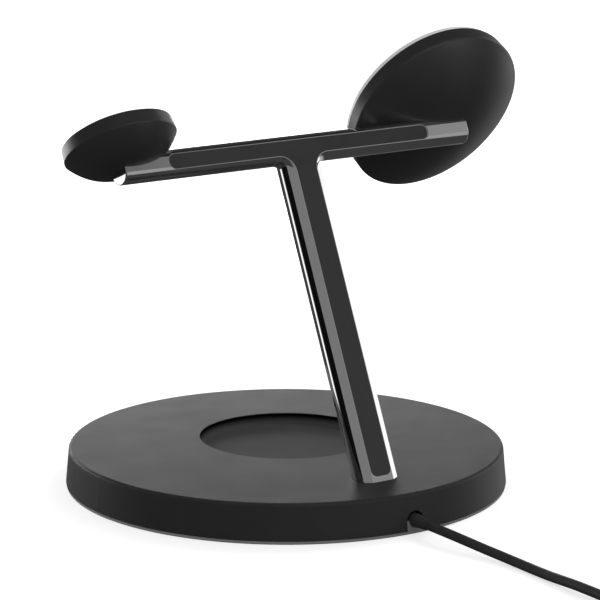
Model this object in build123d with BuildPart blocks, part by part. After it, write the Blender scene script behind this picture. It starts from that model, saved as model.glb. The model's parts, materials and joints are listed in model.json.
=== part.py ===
from build123d import *
import os
from math import cos, pi, radians, sin, sqrt, tan

# A desk charger for a phone, a watch and earbuds.
# Frame: millimetres, +Z up, origin on the table under the centre of the base.
# The user sits at -Y, the cord leaves at +Y. The phone cup is at -X, the watch cup at +X.

# Base housing
base_height = 12.0
base_foot_radius = 67.3
skirt_draft = 1.0
crown_rounding = 1.0
skirt_thickness = 2.6
deck_thickness = 1.8

# Foot pad and bottom plate
pad_thickness = 1.0
pad_inset = 0.15
pad_edge_rounding = 0.3
plate_thickness = 1.6

# Earbud well in the deck
well_x = -4.8
well_y = -6.9
well_radius = 26.8
well_depth = 3.0
well_rounding = 2.8
well_skin = 1.6

# Clearances
fit_gap = 0.1
seat_gap = 0.05
drop_in_gap = 0.2

# Screws that close the base
boss_count = 5
boss_inset = 3.5
boss_radius = 3.2
screw_head_radius = 2.2
screw_head_height = 1.0
screw_shank_radius = 1.2
base_screw_length = 6.5

# Steel weight
ballast_gap = 1.7
ballast_thickness = 2.6

# Earbud charging coil
earbud_coil_thickness = 1.2
earbud_coil_outer = 21.5
earbud_coil_inner = 8.5

# Circuit board and its parts
board_edge_gap = 10.7
board_width = 26.0
board_length = 58.0
board_thickness = 1.2
board_standoff = 1.8
board_hole_inset = 2.8
board_post_radius = 2.4
board_screw_shank = 0.9
board_screw_head = 1.7
board_screw_head_height = 0.9
board_margin = 2.4
board_corner = 1.5
board_screw_length = 2.6
board_column = 9.0
inductor_corner = 1.2
capacitor_pitch = 11.0
connector_pitch = 5.5
connector_edge_gap = 2.3
connector_gap = 2.3
inductor_side = 8.0
inductor_height = 3.2
capacitor_radius = 2.5
capacitor_height = 3.6
controller_side = 5.0
controller_height = 0.9
connector_width = 5.0
connector_depth = 4.4
connector_height = 3.0

# Stand: a leaning stem with a flat back, and a cross bar
stand_lean = 24.8
stand_setback = 16.26
stem_flat_half = 3.72
stem_facet_depth = 1.3
stem_radius = 6.55
stem_centre_depth = 3.975
stem_length = 102.585
bar_radius = 4.37
bar_axis_depth = 3.645
bar_half = 61.6
bar_end_rounding = 0.35
bar_end_rise = 0.42
corner_radius = 5.0
stem_bore_radius = 2.9
stem_bore_depth = 4.9
stem_bore_foot = -4.2
bar_bore_radius = 2.1
bar_bore_depth = 4.2
bar_end_wall = 1.3
lead_exit_width = 3.0
lead_exit_margin = 0.1

# Inlay in the flat back of the stand
inlay_lip = 0.2
inlay_depth = 0.75
inlay_foot = 1.6
inlay_end_gap = 15.3
inlay_end_rounding = 2.0
inlay_foot_rounding = 2.0
inlay_gap = 0.03

# Socket that holds the stem in the base
socket_half_width = 10.6
socket_length = 20.2
socket_height = 3.8
socket_screw_inset = 2.6
socket_screw_length = 4.0
pin_radius = 1.25

# Phone cup
cup_inset = 3.4
phone_tilt = 30.16
phone_reach = 14.4
phone_front_radius = 28.95
phone_rear_radius = 29.1
phone_wall = 4.72
phone_dome = 10.2
phone_edge_rounding = 1.2
phone_front_rounding = 0.5
phone_cavity_radius = 26.6
phone_ledge_depth = 2.4
phone_ledge_width = 2.2
phone_taper_depth = 3.6
phone_floor_radius = 12.0
phone_floor_depth = 8.0
phone_ring_radius = 28.3
phone_ring_proud = 1.8
phone_ring_width = 2.7
phone_ring_rounding = 0.6
phone_face_recess = 0.1
phone_face_thickness = 1.1
phone_magnet_outer = 25.2
phone_magnet_inner = 22.0
phone_magnet_count = 18
phone_magnet_length = 7.0
phone_coil_outer = 21.5
phone_coil_inner = 9.0
phone_coil_thickness = 1.2
phone_back_thickness = 0.8
phone_screw_offset = 8.0
phone_screw_length = 3.8

# Watch cup
watch_tilt = 55.23
watch_reach = 11.46
watch_front_radius = 16.69
watch_rear_radius = 17.11
watch_wall = 4.3
watch_dome = 7.96
watch_dome_power = 2.92
watch_dome_shares = (1, 0.88, 0.7, 0.4, 0)
watch_edge_rounding = 0.6
watch_cavity_radius = 14.6
watch_ledge_depth = 3.4
watch_ledge_width = 2.0
watch_floor_depth = 5.2
watch_face_proud = 1.0
watch_face_thickness = 1.8
watch_face_dish = 0.6
watch_face_rounding = 0.5
watch_magnet_radius = 5.0
watch_coil_outer = 12.0
watch_coil_inner = 5.6
watch_coil_thickness = 1.2
watch_ferrite_radius = 12.4
watch_back_thickness = 0.6
watch_screw_offset = 6.5
watch_screw_length = 3.7

# Lead hole and screw in each cup
lead_hole_radius = 1.9
cup_screw_head_height = 1.1

# Leads inside the stand and the base
lead_radius = 0.8
lead_half_spacing = 1.1
lead_bend = 1.6
lead_turn = 8.0
lead_approach = 13.2
power_lead_radius = 0.9
power_lead_bend = 1.2
power_lead_step = 9.0
power_lead_steps = 4

# Cable notch and strain relief
notch_half = 2.9
cord_exit_z = 4.0
relief_radius = 2.05
relief_tip_radius = 1.5
relief_length = 6.2
relief_flange_half = 3.2
relief_flange_thickness = 2.0
relief_flange_height = 5.9
tab_half = 2.8
tab_inset = 0.35

# Cord: 1.5 m, the rest of it wound in a tied coil
cord_radius = 1.4
cord_bend_share = 0.45
coil_x = -23.3
coil_y = 158.0
coil_inner = 9.9
coil_outer = 21.4
coil_bottom = 0.8
coil_height = 11.4
coil_in_radius = 19.7
coil_in_z = 2.2
coil_in_y = 146.0
coil_out_radius = 22.3
coil_out_y = 146.0
tie_width = 6.0
tie_thickness = 0.75
tie_play = 0.5
plug_boot_length = 6.0
plug_boot_radius = 2.4
plug_boot_tip = 1.9
plug_length = 19.0
plug_width = 11.2
plug_height = 6.4
plug_rounding = 2.4
plug_edge_rounding = 0.8
shell_length = 6.65
shell_width = 8.34
shell_height = 2.56
shell_wall = 0.3
shell_mouth = 5.6

# Heights worked out from the base up
plate_top = pad_thickness + plate_thickness
deck_under = base_height - deck_thickness
well_floor = base_height - well_depth
well_under = well_floor - well_skin
coil_under = well_under - earbud_coil_thickness
ballast_top = plate_top + ballast_thickness
base_crown_radius = base_foot_radius - skirt_draft
cavity_radius = base_crown_radius - skirt_thickness
boss_circle = cavity_radius - boss_inset - boss_radius
ballast_radius = cavity_radius - ballast_gap
board_x = cavity_radius - board_edge_gap - board_width / 2
cup_span = bar_half - cup_inset
inlay_reach = bar_half - inlay_end_gap
board_under = plate_top + board_standoff
board_top = board_under + board_thickness
socket_top = plate_top + socket_height

# Directions and points on the leaning stand
lean = radians(stand_lean)
up_stem = Vector(0, -sin(lean), cos(lean))
rearward = Vector(0, cos(lean), sin(lean))
stand_foot = Vector(0, base_foot_radius - stand_setback, base_height)
across = Vector(1, 0, 0)


def stand_point(x, along, depth):
    """A point x to the side, along the stem, and in front of the stand's flat back."""
    return stand_foot + across * x + up_stem * along - rearward * depth


def stem_y(z, depth):
    """How far back the stem's inside is, at a height and a depth in front of its flat back."""
    return stand_foot.Y + (base_height - z) * tan(lean) - depth / cos(lean)


def stem_plane(along):
    """The plane across the stem, with local y pointing out of the flat back."""
    return Plane(origin=stand_point(0, along, 0), x_dir=across, z_dir=up_stem)


def bar_plane(x):
    """The plane across the bar, with local x rearward and local y up the stem."""
    return Plane(origin=stand_point(x, stem_length, bar_axis_depth), x_dir=rearward, z_dir=across)


back_plane = Plane(origin=stand_point(0, 0, 0), x_dir=-across, z_dir=rearward)


def cup_normal(tilt):
    """The direction that a cup's face looks in."""
    return Vector(0, -cos(radians(tilt)), sin(radians(tilt)))


def cup_centre(x, tilt, reach):
    """The middle of a cup's front edge, on the line through the bar's axis."""
    return stand_point(x, stem_length, bar_axis_depth) + cup_normal(tilt) * reach


phone_out = cup_normal(phone_tilt)
phone_centre = cup_centre(-cup_span, phone_tilt, phone_reach)
phone_axis = Axis(phone_centre, phone_out)
phone_profile = Plane(origin=phone_centre, x_dir=across, z_dir=across.cross(phone_out))
watch_out = cup_normal(watch_tilt)
watch_centre = cup_centre(cup_span, watch_tilt, watch_reach)
watch_axis = Axis(watch_centre, watch_out)
watch_profile = Plane(origin=watch_centre, x_dir=across, z_dir=across.cross(watch_out))


def phone_plane(forward):
    """The plane across the phone cup, forward of its front edge."""
    return Plane(origin=phone_centre + phone_out * forward, x_dir=across, z_dir=phone_out)


def watch_plane(forward):
    """The plane across the watch cup, forward of its front edge."""
    return Plane(origin=watch_centre + watch_out * forward, x_dir=across, z_dir=watch_out)


def circles(builder, radius):
    """The round edges of a piece that have the given radius."""
    round_edges = builder.edges().filter_by(GeomType.CIRCLE)
    return round_edges.filter_by(lambda e: abs(e.radius - radius) < seat_gap)


# Sections that several pieces share
stem_facet_x = sqrt(stem_radius**2 - (stem_centre_depth - stem_facet_depth) ** 2)
stem_depth = stem_centre_depth + stem_radius
bar_flat_half = sqrt(bar_radius**2 - bar_axis_depth**2)
corner_x = stem_flat_half + corner_radius
corner_sweep = corner_radius + bar_flat_half

with BuildSketch() as stem_section:
    with BuildLine():
        Line((-stem_flat_half, 0), (stem_flat_half, 0))
        Line((stem_flat_half, 0), (stem_facet_x, -stem_facet_depth))
        ThreePointArc(
            (stem_facet_x, -stem_facet_depth), (0, -stem_depth), (-stem_facet_x, -stem_facet_depth)
        )
        Line((-stem_facet_x, -stem_facet_depth), (-stem_flat_half, 0))
    make_face()

with BuildSketch() as bar_section:
    Circle(bar_radius)
    with Locations((bar_axis_depth + bar_radius, 0)):
        Rectangle(2 * bar_radius, 3 * bar_radius, mode=Mode.SUBTRACT)

with BuildSketch() as bar_end_section:
    Circle(bar_radius)
    with Locations((bar_axis_depth + bar_end_rise + bar_radius, 0)):
        Rectangle(2 * bar_radius, 3 * bar_radius, mode=Mode.SUBTRACT)

inlay_half = stem_flat_half - inlay_lip
inlay_bar_half = bar_flat_half - inlay_lip
with BuildSketch() as inlay_outline:
    with Locations((0, (inlay_foot + stem_length) / 2)):
        Rectangle(2 * inlay_half, stem_length - inlay_foot)
    with Locations((0, stem_length)):
        Rectangle(2 * inlay_reach, 2 * inlay_bar_half)
    fillet(
        inlay_outline.vertices().filter_by(lambda v: abs(v.X) < corner_x and v.Y > inlay_foot + inlay_half),
        corner_radius + inlay_lip,
    )
    fillet(
        inlay_outline.vertices().filter_by(lambda v: abs(v.X) > inlay_reach - inlay_bar_half),
        inlay_end_rounding,
    )
    fillet(
        inlay_outline.vertices().filter_by(lambda v: v.Y < inlay_foot + inlay_half),
        inlay_foot_rounding,
    )

# Where the screws of the base and the socket stand
boss_spots = [loc.position for loc in PolarLocations(boss_circle, boss_count).locations]
pin_z = plate_top + socket_height / 2
pin_y = stem_y(pin_z, stem_depth / 2)
socket_screw_x = socket_half_width - socket_screw_inset
socket_screw_y = socket_length / 2 - socket_screw_inset
socket_spots = [
    Vector(x, pin_y + y, 0)
    for x in (-socket_screw_x, socket_screw_x)
    for y in (-socket_screw_y, socket_screw_y)
]
board_hole_x = board_width / 2 - board_hole_inset
board_hole_y = board_length / 2 - board_hole_inset
board_spots = [
    Vector(board_x + x, y, 0)
    for x in (-board_hole_x, board_hole_x)
    for y in (-board_hole_y, board_hole_y)
]
plate_spots = boss_spots + socket_spots
connector_y = board_length / 2 - connector_edge_gap - connector_depth / 2
connector_face_y = connector_y + connector_depth / 2
inductor_pitch = connector_y - connector_depth / 2 - connector_gap - inductor_side / 2
earbud_connector_x = board_x - board_width / 2 + connector_edge_gap + connector_depth / 2
lead_exit_z = (socket_top + deck_under) / 2
relief_flange_y = cavity_radius - fit_gap - relief_flange_thickness
relief_taper_start = base_foot_radius + fit_gap
relief_tip_y = base_foot_radius + relief_length

# Top cover: a drafted skirt and a deck, with the well, the stem's opening and the cable notch
with BuildPart() as base_top_cover:
    with BuildSketch(Plane.XZ):
        with BuildLine():
            Polyline(
                (0, pad_thickness),
                (base_foot_radius, pad_thickness),
                (base_crown_radius, base_height),
                (0, base_height),
                close=True,
            )
        make_face()
    revolve(axis=Axis.Z)
    fillet(base_top_cover.faces().sort_by(Axis.Z)[-1].edges(), crown_rounding)
    with BuildSketch(Plane.XY.offset(pad_thickness)):
        Circle(cavity_radius)
    extrude(amount=deck_under - pad_thickness, mode=Mode.SUBTRACT)
    with BuildSketch(Plane.XY.offset(well_under)):
        with Locations((well_x, well_y)):
            Circle(well_radius + deck_thickness)
    extrude(amount=deck_under - well_under)
    with BuildSketch(Plane.XY.offset(base_height)):
        with Locations((well_x, well_y)):
            Circle(well_radius)
    extrude(amount=-well_depth, mode=Mode.SUBTRACT)
    fillet(circles(base_top_cover, well_radius).sort_by(Axis.Z)[0], well_rounding)
    with BuildSketch(Plane.XY.offset(plate_top)):
        with Locations(*boss_spots):
            Circle(boss_radius)
    extrude(amount=deck_under - plate_top)
    with BuildSketch(Plane.XY.offset(plate_top)):
        with Locations(*boss_spots):
            Circle(screw_shank_radius + seat_gap)
    extrude(amount=base_screw_length, mode=Mode.SUBTRACT)
    with BuildSketch(stem_plane(-stem_depth)):
        add(stem_section.sketch)
        offset(amount=fit_gap, kind=Kind.INTERSECTION)
    extrude(amount=2 * stem_depth, mode=Mode.SUBTRACT)
    with BuildSketch(Plane.XZ.offset(-cavity_radius + skirt_thickness)):
        with Locations((0, cord_exit_z)):
            Circle(notch_half)
        with Locations((0, cord_exit_z / 2)):
            Rectangle(2 * notch_half, cord_exit_z)
    extrude(amount=-3 * skirt_thickness, mode=Mode.SUBTRACT)
base_top_cover.part.label = "base_top_cover"

# Foot pad with the tab that closes the notch under the cord
with BuildPart() as base_foot_pad:
    with BuildSketch():
        Circle(base_foot_radius - pad_inset)
    extrude(amount=pad_thickness)
    fillet(base_foot_pad.faces().sort_by(Axis.Z)[0].edges(), pad_edge_rounding)
    with BuildSketch(Plane.XY.offset(pad_thickness)):
        Circle(base_foot_radius - tab_inset)
        Circle(cavity_radius + fit_gap, mode=Mode.SUBTRACT)
        with Locations((0, base_foot_radius)):
            Rectangle(2 * tab_half, base_foot_radius, mode=Mode.INTERSECT)
    extrude(amount=cord_exit_z - pad_thickness)
    with BuildSketch(Plane.XZ.offset(-cavity_radius)):
        with Locations((0, cord_exit_z)):
            Circle(relief_radius + seat_gap)
    extrude(amount=-3 * skirt_thickness, mode=Mode.SUBTRACT)
base_foot_pad.part.label = "base_foot_pad"

# Bottom plate with screw holes, board posts and a gap for the cord's flange
with BuildPart() as base_bottom_plate:
    with BuildSketch(Plane.XY.offset(pad_thickness)):
        Circle(cavity_radius - drop_in_gap)
        with Locations((0, cavity_radius)):
            Rectangle(
                2 * (relief_flange_half + fit_gap),
                2 * (relief_flange_thickness + 2 * fit_gap),
                mode=Mode.SUBTRACT,
            )
    extrude(amount=plate_thickness)
    with BuildSketch(Plane.XY.offset(plate_top)):
        with Locations(*board_spots):
            Circle(board_post_radius)
    extrude(amount=board_standoff)
    with BuildSketch(Plane.XY.offset(board_under)):
        with Locations(*board_spots):
            Circle(board_screw_shank + seat_gap)
    extrude(amount=-board_standoff, mode=Mode.SUBTRACT)
    with BuildSketch(Plane.XY.offset(pad_thickness)):
        with Locations(*plate_spots):
            Circle(screw_shank_radius + seat_gap)
    extrude(amount=plate_thickness, mode=Mode.SUBTRACT)
    with BuildSketch(Plane.XY.offset(pad_thickness)):
        with Locations(*plate_spots):
            Circle(screw_head_radius + fit_gap)
    extrude(amount=screw_head_height, mode=Mode.SUBTRACT)
base_bottom_plate.part.label = "base_bottom_plate"

# Steel weight, cut away for the board, the bosses and the stand's socket
with BuildPart() as ballast_plate:
    with BuildSketch(Plane.XY.offset(plate_top)):
        Circle(ballast_radius)
        with Locations((board_x + ballast_radius / 2, 0)):
            Rectangle(
                board_width + 2 * board_margin + ballast_radius,
                board_length + 2 * board_margin,
                mode=Mode.SUBTRACT,
            )
        with Locations((0, pin_y - socket_length / 2 - board_margin + ballast_radius / 2)):
            Rectangle(2 * (socket_half_width + board_margin), ballast_radius, mode=Mode.SUBTRACT)
        with Locations(*boss_spots):
            Circle(boss_radius + drop_in_gap, mode=Mode.SUBTRACT)
    extrude(amount=ballast_thickness)
ballast_plate.part.label = "ballast_plate"

# Screws from below that close the base
with BuildPart() as base_screws:
    with BuildSketch(Plane.XY.offset(pad_thickness)):
        with Locations(*boss_spots):
            Circle(screw_head_radius)
    extrude(amount=screw_head_height)
    with BuildSketch(Plane.XY.offset(pad_thickness + screw_head_height)):
        with Locations(*boss_spots):
            Circle(screw_shank_radius)
    extrude(amount=base_screw_length)
base_screws.part.label = "base_screws"

# Earbud coil against the well's underside, with its ferrite below
with BuildPart() as earbud_coil:
    with BuildSketch(Plane.XY.offset(coil_under)):
        with Locations((well_x, well_y)):
            Circle(earbud_coil_outer)
            Circle(earbud_coil_inner, mode=Mode.SUBTRACT)
    extrude(amount=earbud_coil_thickness)
earbud_coil.part.label = "earbud_coil"

with BuildPart() as earbud_ferrite:
    with BuildSketch(Plane.XY.offset(ballast_top)):
        with Locations((well_x, well_y)):
            Circle(earbud_coil_outer)
    extrude(amount=coil_under - ballast_top)
earbud_ferrite.part.label = "earbud_ferrite"

# Circuit board on its posts, with its screws and the parts soldered to it
with BuildPart() as main_board:
    with BuildSketch(Plane.XY.offset(board_under)):
        with Locations((board_x, 0)):
            RectangleRounded(board_width, board_length, board_corner)
        with Locations(*board_spots):
            Circle(board_screw_shank + seat_gap, mode=Mode.SUBTRACT)
    extrude(amount=board_thickness)
main_board.part.label = "main_board"

with BuildPart() as board_screws:
    with BuildSketch(Plane.XY.offset(board_top)):
        with Locations(*board_spots):
            Circle(board_screw_head)
    extrude(amount=board_screw_head_height)
    with BuildSketch(Plane.XY.offset(board_top)):
        with Locations(*board_spots):
            Circle(board_screw_shank)
    extrude(amount=-board_screw_length)
board_screws.part.label = "board_screws"

with BuildPart() as board_inductors:
    with BuildSketch(Plane.XY.offset(board_top)):
        with Locations((board_x, 0)):
            with GridLocations(1, inductor_pitch, 1, 3):
                RectangleRounded(inductor_side, inductor_side, inductor_corner)
    extrude(amount=inductor_height)
board_inductors.part.label = "board_inductors"

with BuildPart() as board_capacitors:
    with BuildSketch(Plane.XY.offset(board_top)):
        with Locations((board_x + board_column, 0)):
            with GridLocations(1, capacitor_pitch, 1, 4):
                Circle(capacitor_radius)
    extrude(amount=capacitor_height)
board_capacitors.part.label = "board_capacitors"

with BuildPart() as board_controllers:
    with BuildSketch(Plane.XY.offset(board_top)):
        with Locations((board_x, 0)):
            with GridLocations(1, inductor_pitch, 1, 2):
                Rectangle(controller_side, controller_side)
    extrude(amount=controller_height)
board_controllers.part.label = "board_controllers"

with BuildPart() as board_connectors:
    with BuildSketch(Plane.XY.offset(board_top)):
        with Locations((board_x, connector_y)):
            with GridLocations(connector_pitch, 1, 3, 1):
                Rectangle(connector_width, connector_depth)
    extrude(amount=connector_height)
    with BuildSketch(Plane.XY.offset(board_top)):
        with Locations((earbud_connector_x, well_y)):
            Rectangle(connector_depth, connector_width)
    extrude(amount=well_under - drop_in_gap - board_top)
board_connectors.part.label = "board_connectors"

# Stand: the stem's rounded top runs into the bar, and the bar bends down into the stem's sides.
# The bar's ends stand a little proud of the inlay between them.
with BuildPart() as stand_frame:
    with BuildSketch(stem_plane(-2 * stem_depth)):
        add(stem_section.sketch)
    extrude(amount=2 * stem_depth + stem_length + 2 * bar_radius)
    crown_sweep = stem_depth - bar_axis_depth
    with BuildSketch(bar_plane(-stem_depth)):
        with BuildLine():
            Polyline(
                (-crown_sweep, bar_radius - crown_sweep),
                (-crown_sweep, -2 * stem_length),
                (bar_axis_depth, -2 * stem_length),
                (bar_axis_depth, bar_flat_half),
            )
            RadiusArc((bar_axis_depth, bar_flat_half), (0, bar_radius), -bar_radius)
            RadiusArc((0, bar_radius), (-crown_sweep, bar_radius - crown_sweep), -crown_sweep)
        make_face()
    extrude(amount=2 * stem_depth, mode=Mode.INTERSECT)
    split(bisect_by=Plane.XY.offset(plate_top), keep=Keep.TOP)
    with BuildSketch(bar_plane(-bar_half)):
        add(bar_end_section.sketch)
    extrude(amount=2 * bar_half)
    bar_ends = stand_frame.faces().sort_by(Axis.X)
    fillet(bar_ends[0].edges() + bar_ends[-1].edges(), bar_end_rounding)
    for side in (-1, 1):
        with BuildSketch(bar_plane(side * corner_x)):
            add(bar_section.sketch)
        bend = Axis(stand_point(side * corner_x, stem_length - corner_sweep, 0), rearward * -side)
        revolve(axis=bend, revolution_arc=90)
    with BuildSketch(back_plane):
        add(inlay_outline.sketch)
        offset(amount=inlay_lip + inlay_gap)
    extrude(amount=bar_radius, mode=Mode.SUBTRACT)
    with BuildSketch(back_plane):
        add(inlay_outline.sketch)
    extrude(amount=-inlay_depth, mode=Mode.SUBTRACT)
    with BuildSketch(stem_plane(stem_bore_foot)):
        with Locations((0, -stem_bore_depth)):
            Circle(stem_bore_radius)
    extrude(amount=stem_length - stem_bore_foot, mode=Mode.SUBTRACT)
    with BuildSketch(bar_plane(bar_end_wall - bar_half)):
        with Locations((bar_axis_depth - bar_bore_depth, 0)):
            Circle(bar_bore_radius)
    extrude(amount=2 * (bar_half - bar_end_wall), mode=Mode.SUBTRACT)
    with BuildSketch(Plane.YZ):
        with Locations((stem_y(lead_exit_z, bar_axis_depth), lead_exit_z)):
            Rectangle(lead_exit_width, 4 * (lead_radius + lead_exit_margin))
    extrude(amount=stem_depth, mode=Mode.SUBTRACT)
    with BuildSketch(Plane.YZ.offset(-socket_half_width)):
        with Locations((pin_y, pin_z)):
            Circle(pin_radius + seat_gap)
    extrude(amount=2 * socket_half_width, mode=Mode.SUBTRACT)
    with BuildSketch(phone_plane(-phone_reach)):
        Circle(lead_hole_radius)
        with Locations((phone_screw_offset, 0)):
            Circle(screw_shank_radius + seat_gap)
    extrude(amount=phone_reach, mode=Mode.SUBTRACT)
    with BuildSketch(watch_plane(-watch_reach)):
        Circle(lead_hole_radius)
        with Locations((-watch_screw_offset, 0)):
            Circle(screw_shank_radius + seat_gap)
    extrude(amount=watch_reach, mode=Mode.SUBTRACT)
stand_frame.part.label = "stand_frame"

with BuildPart() as stand_inlay:
    with BuildSketch(back_plane):
        add(inlay_outline.sketch)
        offset(amount=-inlay_gap)
    extrude(amount=-inlay_depth)
stand_inlay.part.label = "stand_inlay"

# Socket on the bottom plate, with the cross pin and the screws that hold it
with BuildPart() as stand_socket:
    with BuildSketch(Plane.XY.offset(plate_top)):
        with Locations((0, pin_y)):
            RectangleRounded(2 * socket_half_width, socket_length, socket_screw_inset)
    extrude(amount=socket_height)
    with BuildSketch(stem_plane(-2 * stem_depth)):
        add(stem_section.sketch)
        offset(amount=fit_gap, kind=Kind.INTERSECTION)
    extrude(amount=2 * stem_depth, mode=Mode.SUBTRACT)
    with BuildSketch(Plane.XY.offset(plate_top)):
        with Locations(*socket_spots):
            Circle(screw_shank_radius + seat_gap)
    extrude(amount=socket_height, mode=Mode.SUBTRACT)
    with BuildSketch(Plane.YZ.offset(-socket_half_width)):
        with Locations((pin_y, pin_z)):
            Circle(pin_radius + seat_gap)
    extrude(amount=2 * socket_half_width, mode=Mode.SUBTRACT)
stand_socket.part.label = "stand_socket"

with BuildPart() as stand_pin:
    with BuildSketch(Plane.YZ.offset(-socket_half_width)):
        with Locations((pin_y, pin_z)):
            Circle(pin_radius)
    extrude(amount=2 * socket_half_width)
stand_pin.part.label = "stand_pin"

with BuildPart() as socket_screws:
    with BuildSketch(Plane.XY.offset(pad_thickness)):
        with Locations(*socket_spots):
            Circle(screw_head_radius)
    extrude(amount=screw_head_height)
    with BuildSketch(Plane.XY.offset(pad_thickness + screw_head_height)):
        with Locations(*socket_spots):
            Circle(screw_shank_radius)
    extrude(amount=socket_screw_length)
socket_screws.part.label = "socket_screws"

# Phone cup: a shallow wall, a rounded edge and a domed back that the bar end lies in
with BuildPart() as phone_housing:
    phone_dome_radius = (phone_rear_radius**2 + phone_dome**2) / (2 * phone_dome)
    phone_apex = phone_wall + phone_dome
    with BuildSketch(phone_profile):
        with BuildLine():
            Polyline((0, -phone_apex), (0, 0), (phone_front_radius, 0), (phone_rear_radius, -phone_wall))
            RadiusArc((phone_rear_radius, -phone_wall), (0, -phone_apex), phone_dome_radius)
        make_face()
    revolve(axis=phone_axis)
    fillet(circles(phone_housing, phone_rear_radius), phone_edge_rounding)
    fillet(circles(phone_housing, phone_front_radius), phone_front_rounding)
    with BuildSketch(phone_profile):
        with BuildLine():
            Polyline(
                (0, 0),
                (phone_cavity_radius, 0),
                (phone_cavity_radius, -phone_ledge_depth),
                (phone_cavity_radius - phone_ledge_width, -phone_ledge_depth),
                (phone_cavity_radius - phone_ledge_width, -phone_taper_depth),
                (phone_floor_radius, -phone_floor_depth),
                (0, -phone_floor_depth),
                close=True,
            )
        make_face()
    revolve(axis=phone_axis, mode=Mode.SUBTRACT)
    with BuildSketch(bar_plane(-bar_half - seat_gap)):
        add(bar_end_section.sketch)
        offset(amount=seat_gap, kind=Kind.INTERSECTION)
    extrude(amount=bar_half, mode=Mode.SUBTRACT)
    with BuildSketch(phone_plane(-phone_reach)):
        Circle(lead_hole_radius)
        with Locations((phone_screw_offset, 0)):
            Circle(screw_shank_radius + seat_gap)
    extrude(amount=phone_reach, mode=Mode.SUBTRACT)
phone_housing.part.label = "phone_housing"

with BuildPart() as phone_module_ring:
    with BuildSketch(phone_plane(0)):
        Circle(phone_ring_radius)
        Circle(phone_ring_radius - phone_ring_width, mode=Mode.SUBTRACT)
    extrude(amount=phone_ring_proud)
    fillet(circles(phone_module_ring, phone_ring_radius).sort_by(phone_axis)[-1], phone_ring_rounding)
phone_module_ring.part.label = "phone_module_ring"

phone_face_front = phone_ring_proud - phone_face_recess
phone_face_back = phone_face_front - phone_face_thickness
phone_back_front = phone_back_thickness - phone_ledge_depth
with BuildPart() as phone_face:
    with BuildSketch(phone_plane(phone_face_back)):
        Circle(phone_ring_radius - phone_ring_width - fit_gap)
    extrude(amount=phone_face_thickness)
phone_face.part.label = "phone_face"

with BuildPart() as phone_magnets:
    with BuildSketch(phone_plane(phone_back_front)):
        with PolarLocations((phone_magnet_outer + phone_magnet_inner) / 2, phone_magnet_count):
            Rectangle(phone_magnet_outer - phone_magnet_inner, phone_magnet_length)
    extrude(amount=phone_face_back - phone_back_front)
phone_magnets.part.label = "phone_magnets"

with BuildPart() as phone_coil:
    with BuildSketch(phone_plane(phone_face_back)):
        Circle(phone_coil_outer)
        Circle(phone_coil_inner, mode=Mode.SUBTRACT)
    extrude(amount=-phone_coil_thickness)
phone_coil.part.label = "phone_coil"

with BuildPart() as phone_ferrite:
    with BuildSketch(phone_plane(phone_back_front)):
        Circle(phone_coil_outer)
    extrude(amount=phone_face_back - phone_coil_thickness - phone_back_front)
phone_ferrite.part.label = "phone_ferrite"

with BuildPart() as phone_back_plate:
    with BuildSketch(phone_plane(phone_back_front)):
        Circle(phone_cavity_radius - drop_in_gap)
        Circle(lead_hole_radius, mode=Mode.SUBTRACT)
    extrude(amount=-phone_back_thickness)
phone_back_plate.part.label = "phone_back_plate"

with BuildPart() as phone_screw:
    with BuildSketch(phone_plane(-phone_floor_depth)):
        with Locations((phone_screw_offset, 0)):
            Circle(screw_head_radius)
    extrude(amount=cup_screw_head_height)
    with BuildSketch(phone_plane(-phone_floor_depth)):
        with Locations((phone_screw_offset, 0)):
            Circle(screw_shank_radius)
    extrude(amount=-phone_screw_length)
phone_screw.part.label = "phone_screw"

# Watch cup: the same build, smaller, with a fuller dome and a dished face


def watch_dome_point(share):
    """A point of the watch cup's domed back, at a share of its radius."""
    return (watch_rear_radius * share, -watch_wall - watch_dome * (1 - share**watch_dome_power))


with BuildPart() as watch_housing:
    with BuildSketch(watch_profile):
        with BuildLine():
            Polyline(watch_dome_point(0), (0, 0), (watch_front_radius, 0), (watch_rear_radius, -watch_wall))
            Spline([watch_dome_point(share) for share in watch_dome_shares])
        make_face()
    revolve(axis=watch_axis)
    fillet(circles(watch_housing, watch_rear_radius), watch_edge_rounding)
    fillet(circles(watch_housing, watch_front_radius), watch_edge_rounding)
    with BuildSketch(watch_profile):
        with BuildLine():
            Polyline(
                (0, 0),
                (watch_cavity_radius, 0),
                (watch_cavity_radius, -watch_ledge_depth),
                (watch_cavity_radius - watch_ledge_width, -watch_ledge_depth),
                (watch_cavity_radius - watch_ledge_width, -watch_floor_depth),
                (0, -watch_floor_depth),
                close=True,
            )
        make_face()
    revolve(axis=watch_axis, mode=Mode.SUBTRACT)
    with BuildSketch(bar_plane(0)):
        add(bar_end_section.sketch)
        offset(amount=seat_gap, kind=Kind.INTERSECTION)
    extrude(amount=bar_half + seat_gap, mode=Mode.SUBTRACT)
    with BuildSketch(watch_plane(-watch_reach)):
        Circle(lead_hole_radius)
        with Locations((-watch_screw_offset, 0)):
            Circle(screw_shank_radius + seat_gap)
    extrude(amount=watch_reach, mode=Mode.SUBTRACT)
watch_housing.part.label = "watch_housing"

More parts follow.
